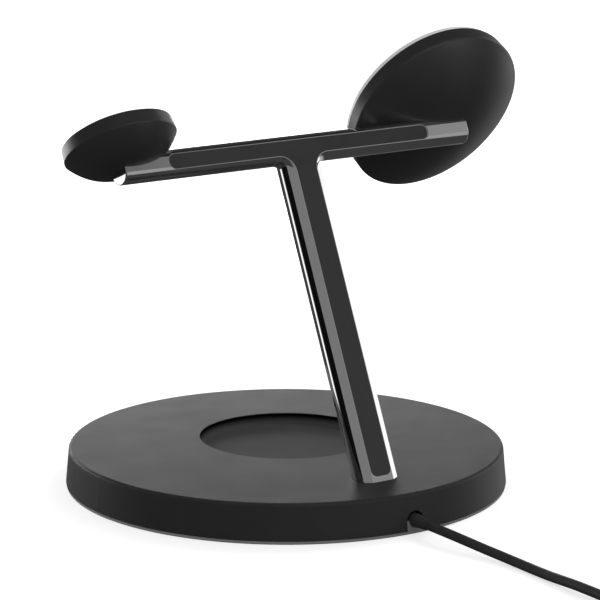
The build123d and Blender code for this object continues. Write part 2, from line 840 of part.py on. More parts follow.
watch_face_back = watch_face_proud - watch_face_thickness
watch_back_front = watch_back_thickness - watch_ledge_depth
watch_dish_radius = (watch_magnet_radius**2 * 4 + watch_face_dish**2) / (2 * watch_face_dish)
with BuildPart() as watch_face:
    with BuildSketch(watch_profile):
        with BuildLine():
            Polyline(
                (0, watch_face_proud - watch_face_dish),
                (0, watch_face_back),
                (watch_cavity_radius - drop_in_gap, watch_face_back),
                (watch_cavity_radius - drop_in_gap, watch_face_proud),
                (2 * watch_magnet_radius, watch_face_proud),
            )
            RadiusArc(
                (2 * watch_magnet_radius, watch_face_proud),
                (0, watch_face_proud - watch_face_dish),
                watch_dish_radius,
            )
        make_face()
    revolve(axis=watch_axis)
    rim = circles(watch_face, watch_cavity_radius - drop_in_gap).sort_by(watch_axis)[-1]
    fillet(rim, watch_face_rounding)
watch_face.part.label = "watch_face"

with BuildPart() as watch_magnet:
    with BuildSketch(watch_plane(watch_back_front)):
        Circle(watch_magnet_radius)
    extrude(amount=watch_face_back - watch_back_front)
watch_magnet.part.label = "watch_magnet"

with BuildPart() as watch_coil:
    with BuildSketch(watch_plane(watch_face_back)):
        Circle(watch_coil_outer)
        Circle(watch_coil_inner, mode=Mode.SUBTRACT)
    extrude(amount=-watch_coil_thickness)
watch_coil.part.label = "watch_coil"

with BuildPart() as watch_ferrite:
    with BuildSketch(watch_plane(watch_back_front)):
        Circle(watch_ferrite_radius)
        Circle(watch_magnet_radius + fit_gap, mode=Mode.SUBTRACT)
    extrude(amount=watch_face_back - watch_coil_thickness - watch_back_front)
watch_ferrite.part.label = "watch_ferrite"

with BuildPart() as watch_back_plate:
    with BuildSketch(watch_plane(watch_back_front)):
        Circle(watch_cavity_radius - drop_in_gap)
        Circle(lead_hole_radius, mode=Mode.SUBTRACT)
    extrude(amount=-watch_back_thickness)
watch_back_plate.part.label = "watch_back_plate"

with BuildPart() as watch_screw:
    with BuildSketch(watch_plane(-watch_floor_depth)):
        with Locations((-watch_screw_offset, 0)):
            Circle(screw_head_radius)
    extrude(amount=cup_screw_head_height)
    with BuildSketch(watch_plane(-watch_floor_depth)):
        with Locations((-watch_screw_offset, 0)):
            Circle(screw_shank_radius)
    extrude(amount=-watch_screw_length)
watch_screw.part.label = "watch_screw"

# Leads: from each cup through the bar and the stem, out of its side and across to the board


def exit_along(z):
    """How far along the stem a lead leaves it at the given height."""
    return (z - base_height + bar_axis_depth * sin(lean)) / cos(lean)


connector_z = board_top + connector_height / 2
phone_lead_z = lead_exit_z - lead_radius - lead_exit_margin / 2
phone_connector_x = board_x - connector_pitch
phone_lead_points = [
    phone_centre + phone_out * phone_back_front,
    stand_point(-cup_span, stem_length, bar_axis_depth),
    stand_point(-lead_half_spacing, stem_length, bar_axis_depth),
    stand_point(-lead_half_spacing, exit_along(phone_lead_z), bar_axis_depth),
    Vector(phone_connector_x, stem_y(phone_lead_z, bar_axis_depth), phone_lead_z),
    Vector(phone_connector_x, connector_face_y, phone_lead_z),
]
with BuildPart() as phone_lead:
    with BuildLine() as phone_lead_route:
        FilletPolyline(*phone_lead_points, radius=[lead_bend, lead_bend, lead_bend, lead_turn])
    with BuildSketch(Plane(origin=phone_lead_points[0], z_dir=-phone_out)):
        Circle(lead_radius)
    sweep(path=phone_lead_route.wire())
phone_lead.part.label = "phone_lead"

watch_lead_z = lead_exit_z + lead_radius + lead_exit_margin / 2
watch_lead_y = stem_y(watch_lead_z, bar_axis_depth)
watch_lead_points = [
    watch_centre + watch_out * watch_back_front,
    stand_point(cup_span, stem_length, bar_axis_depth),
    stand_point(lead_half_spacing, stem_length, bar_axis_depth),
    stand_point(lead_half_spacing, exit_along(watch_lead_z), bar_axis_depth),
    Vector(board_x, watch_lead_y, watch_lead_z),
    Vector(board_x, connector_face_y + lead_approach / 2, connector_z),
    Vector(board_x, connector_face_y, connector_z),
]
with BuildPart() as watch_lead:
    with BuildLine() as watch_lead_route:
        FilletPolyline(
            *watch_lead_points, radius=[lead_bend, lead_bend, lead_bend, lead_turn, lead_turn]
        )
    with BuildSketch(Plane(origin=watch_lead_points[0], z_dir=-watch_out)):
        Circle(lead_radius)
    sweep(path=watch_lead_route.wire())
watch_lead.part.label = "watch_lead"

with BuildPart() as earbud_lead:
    with BuildSketch(Plane.YZ.offset(well_x + earbud_coil_outer)):
        with Locations((well_y, board_top + lead_radius + fit_gap)):
            Circle(lead_radius)
    extrude(amount=earbud_connector_x - connector_depth / 2 - well_x - earbud_coil_outer)
earbud_lead.part.label = "earbud_lead"

power_connector_x = board_x + connector_pitch
power_lead_circle = (boss_circle + boss_radius + cavity_radius) / 2
power_lead_angles = [
    radians(90 - step * power_lead_step) for step in range(1, power_lead_steps + 1)
]
power_lead_points = [
    Vector(0, relief_flange_y, cord_exit_z),
    Vector(0, relief_flange_y - lead_bend, cord_exit_z),
    *[
        Vector(power_lead_circle * cos(angle), power_lead_circle * sin(angle), connector_z)
        for angle in power_lead_angles
    ],
    Vector(power_connector_x, connector_face_y + lead_approach, connector_z),
    Vector(power_connector_x, connector_face_y, connector_z),
]
with BuildPart() as power_lead:
    with BuildLine() as power_lead_route:
        FilletPolyline(
            *power_lead_points,
            radius=[power_lead_bend, *[lead_turn] * (power_lead_steps + 1)],
        )
    with BuildSketch(Plane.XZ.offset(-relief_flange_y)):
        with Locations((0, cord_exit_z)):
            Circle(power_lead_radius)
    sweep(path=power_lead_route.wire())
power_lead.part.label = "power_lead"

# Strain relief: a flange behind the skirt, a neck through the notch and a tapered sleeve
with BuildPart() as strain_relief:
    with BuildSketch(Plane.XZ.offset(-relief_flange_y)):
        with Locations((0, pad_thickness + seat_gap + relief_flange_height / 2)):
            Rectangle(2 * relief_flange_half, relief_flange_height)
    extrude(amount=-relief_flange_thickness)
    with BuildSketch(Plane.YZ):
        with BuildLine():
            Polyline(
                (relief_flange_y, cord_exit_z),
                (relief_flange_y, cord_exit_z + relief_radius),
                (relief_taper_start, cord_exit_z + relief_radius),
                (relief_tip_y, cord_exit_z + relief_tip_radius),
                (relief_tip_y, cord_exit_z),
                close=True,
            )
        make_face()
    revolve(axis=Axis((0, 0, cord_exit_z), (0, 1, 0)))
strain_relief.part.label = "strain_relief"

# Cord: out of the sleeve, down to the table and along it to the coil
cord_points = [
    Vector(0, relief_tip_y, cord_exit_z),
    Vector(0, 83.5, cord_exit_z),
    Vector(-2.6, 95.5, 2.4),
    Vector(-4.3, 109.5, 1.45),
    Vector(-4.0, 123.5, 1.45),
    Vector(coil_x + coil_in_radius, 136, coil_in_z),
    Vector(coil_x + coil_in_radius, coil_in_y, coil_in_z),
]
cord_bends = []
for before, corner, after in zip(cord_points, cord_points[1:], cord_points[2:]):
    half_turn = radians((corner - before).get_angle(after - corner)) / 2
    shorter_run = min((corner - before).length, (after - corner).length)
    cord_bends.append(cord_bend_share * shorter_run / tan(half_turn))
print("cord bend radii:", [round(bend, 1) for bend in cord_bends])

with BuildPart() as cord_tube:
    with BuildLine() as cord_route:
        FilletPolyline(*cord_points, radius=cord_bends)
    with BuildSketch(Plane.XZ.offset(-relief_tip_y)):
        with Locations((0, cord_exit_z)):
            Circle(cord_radius)
    sweep(path=cord_route.wire())
cord_tube.part.label = "cord_tube"
tube_length = cord_route.wire().length
print("cord tube length:", round(tube_length, 2), "volume over section:",
      round(cord_tube.part.volume / (pi * cord_radius**2), 2))

# The wound length: a closed ring, with the cord's way in and its way out to the plug
coil_out_z = plug_height / 2
with BuildPart() as cord_coil:
    with BuildSketch(Plane.XY.offset(coil_bottom)):
        with Locations((coil_x, coil_y)):
            Circle(coil_outer)
            Circle(coil_inner, mode=Mode.SUBTRACT)
    extrude(amount=coil_height)
    with BuildSketch(Plane.XZ.offset(-coil_in_y)):
        with Locations((coil_x + coil_in_radius, coil_in_z)):
            Circle(cord_radius)
    extrude(amount=coil_in_y - coil_y)
    with BuildSketch(Plane.XZ.offset(-coil_out_y)):
        with Locations((coil_x - coil_out_radius, coil_out_z)):
            Circle(cord_radius)
    extrude(amount=coil_out_y - coil_y)
cord_coil.part.label = "cord_coil"

tie_inside = coil_inner - tie_play
tie_outside = coil_outer + seat_gap
with BuildPart() as cord_tie:
    with BuildSketch(Plane.YZ.offset(coil_x - tie_width / 2)):
        with Locations((coil_y + (tie_inside + tie_outside) / 2, coil_bottom + coil_height / 2)):
            RectangleRounded(
                tie_outside - tie_inside + 2 * tie_thickness,
                coil_height + 2 * (seat_gap + tie_thickness),
                tie_thickness,
            )
            Rectangle(
                tie_outside - tie_inside, coil_height + 2 * seat_gap, mode=Mode.SUBTRACT
            )
    extrude(amount=tie_width)
cord_tie.part.label = "cord_tie"

# Plug: a soft boot and moulded grip, with a hollow metal shell in front
plug_x = coil_x - coil_out_radius
grip_rear_y = coil_out_y - plug_boot_length
grip_front_y = grip_rear_y - plug_length
with BuildPart() as cord_plug:
    with BuildSketch(Plane.YZ.offset(plug_x)):
        with BuildLine():
            Polyline(
                (coil_out_y, coil_out_z),
                (coil_out_y, coil_out_z + plug_boot_tip),
                (grip_rear_y, coil_out_z + plug_boot_radius),
                (grip_rear_y, coil_out_z),
                close=True,
            )
        make_face()
    revolve(axis=Axis((plug_x, 0, coil_out_z), (0, 1, 0)))
    with BuildSketch(Plane.XZ.offset(-grip_rear_y)):
        with Locations((plug_x, coil_out_z)):
            RectangleRounded(plug_width, plug_height, plug_rounding)
    extrude(amount=plug_length)
    grip_ends = cord_plug.faces().filter_by(Axis.Y).sort_by(Axis.Y)
    fillet(grip_ends[0].edges(), plug_edge_rounding)
cord_plug.part.label = "cord_plug"

with BuildPart() as plug_shell:
    with BuildSketch(Plane.XZ.offset(-grip_front_y)):
        with Locations((plug_x, coil_out_z)):
            SlotOverall(shell_width, shell_height)
    extrude(amount=shell_length)
    with BuildSketch(Plane.XZ.offset(shell_length - grip_front_y)):
        with Locations((plug_x, coil_out_z)):
            SlotOverall(shell_width - 2 * shell_wall, shell_height - 2 * shell_wall)
    extrude(amount=-shell_mouth, mode=Mode.SUBTRACT)
plug_shell.part.label = "plug_shell"

os.makedirs("parts", exist_ok=True)
export_step(base_top_cover.part, "parts/base_top_cover.step")
export_step(base_foot_pad.part, "parts/base_foot_pad.step")
export_step(base_bottom_plate.part, "parts/base_bottom_plate.step")
export_step(ballast_plate.part, "parts/ballast_plate.step")
export_step(base_screws.part, "parts/base_screws.step")
export_step(earbud_coil.part, "parts/earbud_coil.step")
export_step(earbud_ferrite.part, "parts/earbud_ferrite.step")
export_step(main_board.part, "parts/main_board.step")
export_step(board_screws.part, "parts/board_screws.step")
export_step(board_inductors.part, "parts/board_inductors.step")
export_step(board_capacitors.part, "parts/board_capacitors.step")
export_step(board_controllers.part, "parts/board_controllers.step")
export_step(board_connectors.part, "parts/board_connectors.step")
export_step(stand_frame.part, "parts/stand_frame.step")
export_step(stand_inlay.part, "parts/stand_inlay.step")
export_step(stand_socket.part, "parts/stand_socket.step")
export_step(stand_pin.part, "parts/stand_pin.step")
export_step(socket_screws.part, "parts/socket_screws.step")
export_step(phone_housing.part, "parts/phone_housing.step")
export_step(phone_module_ring.part, "parts/phone_module_ring.step")
export_step(phone_face.part, "parts/phone_face.step")
export_step(phone_magnets.part, "parts/phone_magnets.step")
export_step(phone_coil.part, "parts/phone_coil.step")
export_step(phone_ferrite.part, "parts/phone_ferrite.step")
export_step(phone_back_plate.part, "parts/phone_back_plate.step")
export_step(phone_screw.part, "parts/phone_screw.step")
export_step(watch_housing.part, "parts/watch_housing.step")
export_step(watch_face.part, "parts/watch_face.step")
export_step(watch_magnet.part, "parts/watch_magnet.step")
export_step(watch_coil.part, "parts/watch_coil.step")
export_step(watch_ferrite.part, "parts/watch_ferrite.step")
export_step(watch_back_plate.part, "parts/watch_back_plate.step")
export_step(watch_screw.part, "parts/watch_screw.step")
export_step(phone_lead.part, "parts/phone_lead.step")
export_step(watch_lead.part, "parts/watch_lead.step")
export_step(earbud_lead.part, "parts/earbud_lead.step")
export_step(power_lead.part, "parts/power_lead.step")
export_step(strain_relief.part, "parts/strain_relief.step")
export_step(cord_tube.part, "parts/cord_tube.step")
export_step(cord_coil.part, "parts/cord_coil.step")
export_step(cord_tie.part, "parts/cord_tie.step")
export_step(cord_plug.part, "parts/cord_plug.step")
export_step(plug_shell.part, "parts/plug_shell.step")
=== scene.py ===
import json
from collections import namedtuple
from math import cos, pi, radians, sin

import bpy
from mathutils import Matrix, Vector


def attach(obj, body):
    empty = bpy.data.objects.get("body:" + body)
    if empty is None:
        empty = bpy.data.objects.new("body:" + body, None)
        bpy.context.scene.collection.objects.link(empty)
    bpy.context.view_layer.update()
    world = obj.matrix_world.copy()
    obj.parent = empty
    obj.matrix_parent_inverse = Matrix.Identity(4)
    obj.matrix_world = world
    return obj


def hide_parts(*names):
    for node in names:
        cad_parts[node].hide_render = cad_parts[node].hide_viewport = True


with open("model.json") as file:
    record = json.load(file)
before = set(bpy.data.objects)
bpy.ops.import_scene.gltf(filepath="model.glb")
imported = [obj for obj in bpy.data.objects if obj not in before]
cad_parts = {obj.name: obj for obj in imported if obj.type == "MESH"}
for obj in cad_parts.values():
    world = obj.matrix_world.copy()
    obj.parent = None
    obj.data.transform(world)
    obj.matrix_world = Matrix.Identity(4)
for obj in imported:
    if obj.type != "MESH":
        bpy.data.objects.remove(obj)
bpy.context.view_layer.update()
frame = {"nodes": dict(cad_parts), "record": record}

# A three in one wireless charger, seen from behind on its left side.
# Metres, +Z up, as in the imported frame; the cord's points are written in millimetres.
MM = 0.001
nodes = frame["nodes"]

# Camera, solved from the round outlines in the photograph
VIEW_TURN = radians(34.275172)
VIEW_RISE = radians(12.906408)
VIEW_ROLL = radians(0.11369)
VIEW_DISTANCE = 0.9867275
VIEW_SHIFT_RIGHT = 4.15059 * MM
VIEW_SHIFT_UP = -3.23655 * MM
VIEW_HEIGHT = 60 * MM
SENSOR_WIDTH = 36.0
FOCAL_LENGTH = 195.692

# Cord: the route's points, then the coil that holds the unseen length
CORD_RADIUS = 1.4 * MM
CORD_ROUTE = [
    Vector((0, 73.5, 4.0)),
    Vector((0, 83.5, 4.0)),
    Vector((-2.6, 95.5, 2.4)),
    Vector((-4.3, 109.5, 1.45)),
    Vector((-4.0, 123.5, 1.45)),
    Vector((-3.6, 136.0, 2.2)),
    Vector((-3.6, 146.0, 2.2)),
]
CORD_CURVE_ORDER = 3
CORD_CURVE_STEPS = 4
CORD_ROUND_STEPS = 4
COIL_X = -23.3
COIL_Y = 158.0
COIL_RADIUS = 19.7
COIL_Z = 2.2
COIL_PITCH = 2.83
COIL_STEP = 20
COIL_LAYER_TURNS = 4
COIL_TURNS = 14
COIL_LAST_ANGLE = 90
COIL_CHANGE_START = 270
COIL_CHANGE_END = 330
COIL_INNER_BULGE = -1.3
COIL_OUTER_BULGE = 1.5
# Way out of the coil: angle, distance from its middle and height, then the straight run to the plug
COIL_WAY_OUT = [
    (110, 18.0, 10.7),
    (130, 20.6, 10.6),
    (150, 22.9, 9.4),
    (165, 23.3, 7.2),
    (180, 22.8, 4.9),
]
PLUG_RUN = [Vector((-45.6, 152.0, 3.4)), Vector((-45.6, 146.0, 3.2))]

# Noise in every surface: how fine it is, how colour follows it, and the part of its span that is used
CLOUD_SIZE = 12 * MM
CLOUD_DETAIL = 3.0
GRAIN_DETAIL = 2.0
CLOUD_SHARE = 0.6
GRAIN_SHARE = 0.4
NOISE_LOW = 0.3
NOISE_HIGH = 0.7

# The housing's finish: a matte base, smoother cups, and an earbud well whose dull floor has painted
# light (its colour made twice as light) and whose dark wall has painted shade (its colour made near
# black)
HOUSING_SPECULAR = 0.35
WELL_X = -4.8 * MM
WELL_Y = -6.9 * MM
WELL_RADIUS = 26.8 * MM
WELL_EDGE_START = 0.5 * MM
WELL_EDGE_END = 1.0 * MM
WELL_RIM = 12.0 * MM
WELL_RIM_START = 0.1 * MM
WELL_RIM_END = 0.3 * MM
WELL_DEPTH = 2.9 * MM
WELL_FLOOR_DEPTH = 0.98 * WELL_DEPTH
WELL_WALL_DEPTH = 0.2 * WELL_DEPTH
# Painted light and shade in the well: the floor's colour is scaled up as painted light, the wall's
# colour down to near black as painted shade
WELL_FLOOR_PAINTED_LIGHT = 2.0
WELL_WALL_PAINTED_SHADE = 0.05
WELL_ROUGHNESS = 0.6
WELL_SPECULAR = 0.04
CUP_HEIGHT = 80 * MM
CUP_EDGE = 1.0 * MM
CUP_SMOOTHNESS = 0.75
CUP_SPECULAR = 0.5

# Wound wire of the charging coils, counted from the middle of each coil's box
COIL_MIDDLE = (0.5, 0.5, 0.5)
COPPER_DARK = (0.32, 0.13, 0.06, 1.0)
COPPER_LIGHT = (0.78, 0.42, 0.22, 1.0)
COPPER_METALLIC = 0.9
COPPER_ROUGHNESS = 0.35
WIRE_WAVES = 260.0
WIRE_HEIGHT = 0.1 * MM

# Studio as metal sees it: a dark room, paler on the camera's side from right to left.
# A card is at its level up to "full" degrees off its direction, and gone from "gone" degrees on.
Card = namedtuple("Card", "towards full gone level")
ROOM_LEVEL = 0.05
OVERHEAD_LEVEL = 0.02
OVERHEAD_START = 0.55
OVERHEAD_END = 0.75
FRONT_SIDE = Vector((0.0, 0.83, 0.56))
FRONT_FULL = 42
FRONT_GONE = 58
FRONT_LEVEL_RIGHT = 0.28
FRONT_LEVEL_MID = 0.12
FRONT_LEVEL_LEFT = 0.21
FRONT_RIGHT_TO_MID = (-0.56, -0.49)
FRONT_MID_TO_LEFT = (-0.3, 0.4)
WHITE_LEVEL = 1.3
LOW_FRONT = Card(Vector((-0.549, 0.78, -0.30)), 8, 14, 0.35)
RIGHT_FLOOR = Card(Vector((-0.90, -0.32, -0.18)), 14, 38, 0.5)
RIGHT_CARD = Card(Vector((-0.989, -0.111, 0.098)), 19, 25, WHITE_LEVEL)
LEFT_CARD = Card(Vector((0.549, -0.8055, -0.2234)), 4, 9, WHITE_LEVEL)
BLACK_CARD = Card(Vector((0.93, -0.35, -0.02)), 20, 26, 0.004)
# A bright strip along a great circle, which ends by its y and x; it gives the cups' edges an arc
STRIP_NORMAL = Vector((-0.331, -0.337, 0.881))
STRIP_LEVEL = 2.5
STRIP_EDGE = (0.12, 0.07)
STRIP_END_Y = (0.72, 0.80)
STRIP_END_X = (0.25, 0.15)

# Soft light that matte surfaces get from around them, and the floor
AMBIENT_SIDE = 0.85
AMBIENT_UP = 0.6
FLOOR_GLOW = 0.62
FLOOR_NEAR = 0.12
FLOOR_FAR = 0.40
FLOOR_TONE = 0.6
FLOOR_BOUNCE = 0.3
FLOOR_SIZE = 6.0
FLOOR_DROP = 0.02 * MM

# Lamps
LAMP_AIM = Vector((0, 0, 0.03))
SOFTBOX_PLACE = Vector((-0.75, -0.2, 0.75))
SOFTBOX_SIZE = 0.4
SOFTBOX_POWER = 3.0
BACK_CARD_AWAY = 0.36
BACK_CARD_LEFT = 0.18
BACK_CARD_UP = 0.065
BACK_CARD_WIDTH = 0.8
BACK_CARD_HEIGHT = 0.12
BACK_CARD_POWER = 1.3


def smooth(t):
    """0 to 1 with level ends."""
    t = min(max(t, 0.0), 1.0)
    return t * t * (3 - 2 * t)


def turn_place(turn):
    """Distance from the coil's middle and height of one turn: layers go in, out, in and out."""
    layer, place = divmod(turn, COIL_LAYER_TURNS)
    inward = place if layer % 2 == 0 else COIL_LAYER_TURNS - 1 - place
    return COIL_RADIUS - COIL_PITCH * inward, COIL_Z + COIL_PITCH * layer


def coil_point(angle, distance, height):
    """A point of the coil, from its middle."""
    a = radians(angle)
    return Vector((COIL_X + distance * cos(a), COIL_Y + distance * sin(a), height))


def coil_points():
    """The coil's turns: each keeps its distance, and all step over within one stretch of the round."""
    points = []
    outset = 1 / cos(radians(COIL_STEP / 2))
    last = 360 * COIL_TURNS + COIL_LAST_ANGLE
    for angle in range(COIL_STEP, last + 1, COIL_STEP):
        turn, within = divmod(angle, 360)
        share = smooth((within - COIL_CHANGE_START) / (COIL_CHANGE_END - COIL_CHANGE_START))
        near, low = turn_place(turn)
        far, high = turn_place(turn + 1)
        distance = near + (far - near) * share
        if high != low:
            bulge = COIL_INNER_BULGE if near < COIL_RADIUS - COIL_PITCH else COIL_OUTER_BULGE
            distance += bulge * sin(pi * share)
        points.append(coil_point(angle, distance * outset, low + (high - low) * share))
    return points


def make_cord():
    """The cord as one smooth line: out of its sleeve, along the table, round the coil, to the plug."""
    coil_start = [coil_point(0, COIL_RADIUS, COIL_Z)]
    way_out = [coil_point(*place) for place in COIL_WAY_OUT]
    points = CORD_ROUTE + coil_start + coil_points() + way_out + PLUG_RUN
    curve = bpy.data.curves.new("cord", "CURVE")
    curve.dimensions = "3D"
    spline = curve.splines.new("NURBS")
    spline.points.add(len(points) - 1)
    # The bevel is 1 m, and each point's radius scales it to the cord's
    for spot, point in zip(spline.points, points):
        spot.co = (*(point * MM), 1.0)
        spot.radius = CORD_RADIUS
    spline.order_u = CORD_CURVE_ORDER
    spline.use_endpoint_u = True
    spline.resolution_u = CORD_CURVE_STEPS
    curve.bevel_depth = 1.0
    curve.bevel_resolution = CORD_ROUND_STEPS
    curve.use_fill_caps = True
    cord = bpy.data.objects.new("cord", curve)
    bpy.context.scene.collection.objects.link(cord)
    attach(cord, "root")
    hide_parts("cord_tube", "cord_coil")
    return cord


class Graph:
    """A small helper to build a node tree."""

    def __init__(self, tree):
        self.tree = tree
        self.tree.nodes.clear()

    def node(self, kind, **settings):
        made = self.tree.nodes.new(kind)
        for name, value in settings.items():
            setattr(made, name, value)
        return made

    def feed(self, socket, value):
        """Links a socket to another, or sets it to a value."""
        if isinstance(value, bpy.types.NodeSocket):
            self.tree.links.new(value, socket)
        else:
            socket.default_value = value

    def math(self, operation, a, b=0.0, c=0.0):
        made = self.node("ShaderNodeMath", operation=operation)
        for socket, value in zip(made.inputs, (a, b, c)):
            self.feed(socket, value)
        return made.outputs[0]

    def ramp(self, value, low, high, to_low=0.0, to_high=1.0):
        """A smooth step from to_low to to_high while value goes from low to high."""
        made = self.node("ShaderNodeMapRange", interpolation_type="SMOOTHSTEP")
        for socket, number in zip(made.inputs, (value, low, high, to_low, to_high)):
            self.feed(socket, number)
        return made.outputs[0]

    def fade(self, share, a, b):
        """A number that goes from a to b with the share."""
        made = self.node("ShaderNodeMix", data_type="FLOAT")
        for socket, value in zip(made.inputs, (share, None, a, b)):
            if value is not None:
                self.feed(socket, value)
        return made.outputs[0]

    def blend(self, share, a, b):
        """A colour that goes from a to b with the share."""
        made = self.node("ShaderNodeMix", data_type="RGBA")
        self.feed(made.inputs["Factor"], share)
        self.feed(made.inputs["A"], a)
        self.feed(made.inputs["B"], b)
        return made.outputs["Result"]

    def noise(self, vector, size, detail):
        """Noise whose features are about the given size in metres."""
        made = self.node("ShaderNodeTexNoise")
        self.feed(made.inputs["Vector"], vector)
        made.inputs["Scale"].default_value = 1 / size
        made.inputs["Detail"].default_value = detail
        return made.outputs["Fac"]

    def relief(self, shader, height, distance):
        """Gives the shader a relief, and makes it the material's surface."""
        bump = self.node("ShaderNodeBump")
        bump.inputs["Distance"].default_value = distance
        bump.inputs["Strength"].default_value = 1.0
        self.feed(bump.inputs["Height"], height)
        self.feed(shader.inputs["Normal"], bump.outputs["Normal"])
        out = self.node("ShaderNodeOutputMaterial")
        self.feed(out.inputs["Surface"], shader.outputs["BSDF"])


def new_material(name):
    """A material with an empty node tree, and the helper that fills it."""
    made = bpy.data.materials.new(name)
    made.use_nodes = True
    return made, Graph(made.node_tree)


def grey(level, tint=(1.0, 1.0, 1.0)):
    return (level * tint[0], level * tint[1], level * tint[2], 1.0)


def housing_finish_and_painted_well_shading(g, place, colour, gloss):
    """Colour, roughness and shine of the housing by place, with painted shade on the earbud well's wall
    and painted light on its floor.
    """
    parts = g.node("ShaderNodeSeparateXYZ")
    g.feed(parts.inputs[0], place)
    height = parts.outputs["Z"]
    x = g.math("SUBTRACT", parts.outputs["X"], WELL_X)
    y = g.math("SUBTRACT", parts.outputs["Y"], WELL_Y)
    off_axis = g.math("SQRT", g.math("ADD", g.math("MULTIPLY", x, x), g.math("MULTIPLY", y, y)))
    inside = g.ramp(off_axis, WELL_RADIUS + WELL_EDGE_START, WELL_RADIUS + WELL_EDGE_END, 1.0, 0.0)
    sunk = g.ramp(height, WELL_RIM - WELL_RIM_END, WELL_RIM - WELL_RIM_START, 1.0, 0.0)
    in_well = g.math("MULTIPLY", inside, sunk)
    floor = g.ramp(height, WELL_RIM - WELL_FLOOR_DEPTH, WELL_RIM - WELL_WALL_DEPTH, 1.0, 0.0)
    # Painted shade: the well's wall colour goes to near black and loses its shine; painted light: the
    # well's floor colour is made twice as light
    shade = g.fade(in_well, 1.0, g.fade(floor, WELL_WALL_PAINTED_SHADE, WELL_FLOOR_PAINTED_LIGHT))
    cup = g.ramp(height, CUP_HEIGHT - CUP_EDGE, CUP_HEIGHT)
    gloss = g.fade(cup, gloss, g.math("MULTIPLY", gloss, CUP_SMOOTHNESS))
    gloss = g.fade(in_well, gloss, WELL_ROUGHNESS)
    shine = g.fade(cup, HOUSING_SPECULAR, CUP_SPECULAR)
    shine = g.fade(in_well, shine, g.math("MULTIPLY", floor, WELL_SPECULAR))
    shaded = g.node("ShaderNodeVectorMath", operation="SCALE")
    g.feed(shaded.inputs[0], colour)
    g.feed(shaded.inputs["Scale"], shade)
    return shaded.outputs["Vector"], gloss, shine


def surface(name, dark, light, roughness, grain, relief, cloud=CLOUD_SIZE, metallic=0.0, finish=None):
    """A moulded or worked surface: colour clouds, uneven gloss and a fine grain."""
    made, g = new_material(name)
    place = g.node("ShaderNodeTexCoord").outputs["Object"]
    clouds = g.noise(place, cloud, CLOUD_DETAIL)
    grains = g.noise(place, grain, GRAIN_DETAIL)
    shader = g.node("ShaderNodeBsdfPrincipled")
    clouded = g.math("MULTIPLY", clouds, CLOUD_SHARE)
    mixed = g.math("ADD", clouded, g.math("MULTIPLY", grains, GRAIN_SHARE))
    colour = g.blend(g.ramp(mixed, NOISE_LOW, NOISE_HIGH), dark, light)
    gloss = g.ramp(clouds, NOISE_LOW, NOISE_HIGH, *roughness)
    if finish:
        colour, gloss, shine = finish(g, place, colour, gloss)
        g.feed(shader.inputs["Specular IOR Level"], shine)
    g.feed(shader.inputs["Base Color"], colour)
    g.feed(shader.inputs["Roughness"], gloss)
    shader.inputs["Metallic"].default_value = metallic
    g.relief(shader, grains, relief)
    return made


def wound_copper(name):
    """Fine wire laid round and round, seen as thin rings in the copper's colour and relief."""
    made, g = new_material(name)
    place = g.node("ShaderNodeTexCoord").outputs["Generated"]
    centred = g.node("ShaderNodeVectorMath", operation="SUBTRACT")
    g.feed(centred.inputs[0], place)
    centred.inputs[1].default_value = COIL_MIDDLE
    length = g.node("ShaderNodeVectorMath", operation="LENGTH")
    g.feed(length.inputs[0], centred.outputs[0])
    wires = g.math("SINE", g.math("MULTIPLY", length.outputs["Value"], WIRE_WAVES))
    shader = g.node("ShaderNodeBsdfPrincipled")
    colour = g.blend(g.ramp(wires, -1.0, 1.0), COPPER_DARK, COPPER_LIGHT)
    g.feed(shader.inputs["Base Color"], colour)
    shader.inputs["Metallic"].default_value = COPPER_METALLIC
    shader.inputs["Roughness"].default_value = COPPER_ROUGHNESS
    g.relief(shader, wires, WIRE_HEIGHT)
    return made
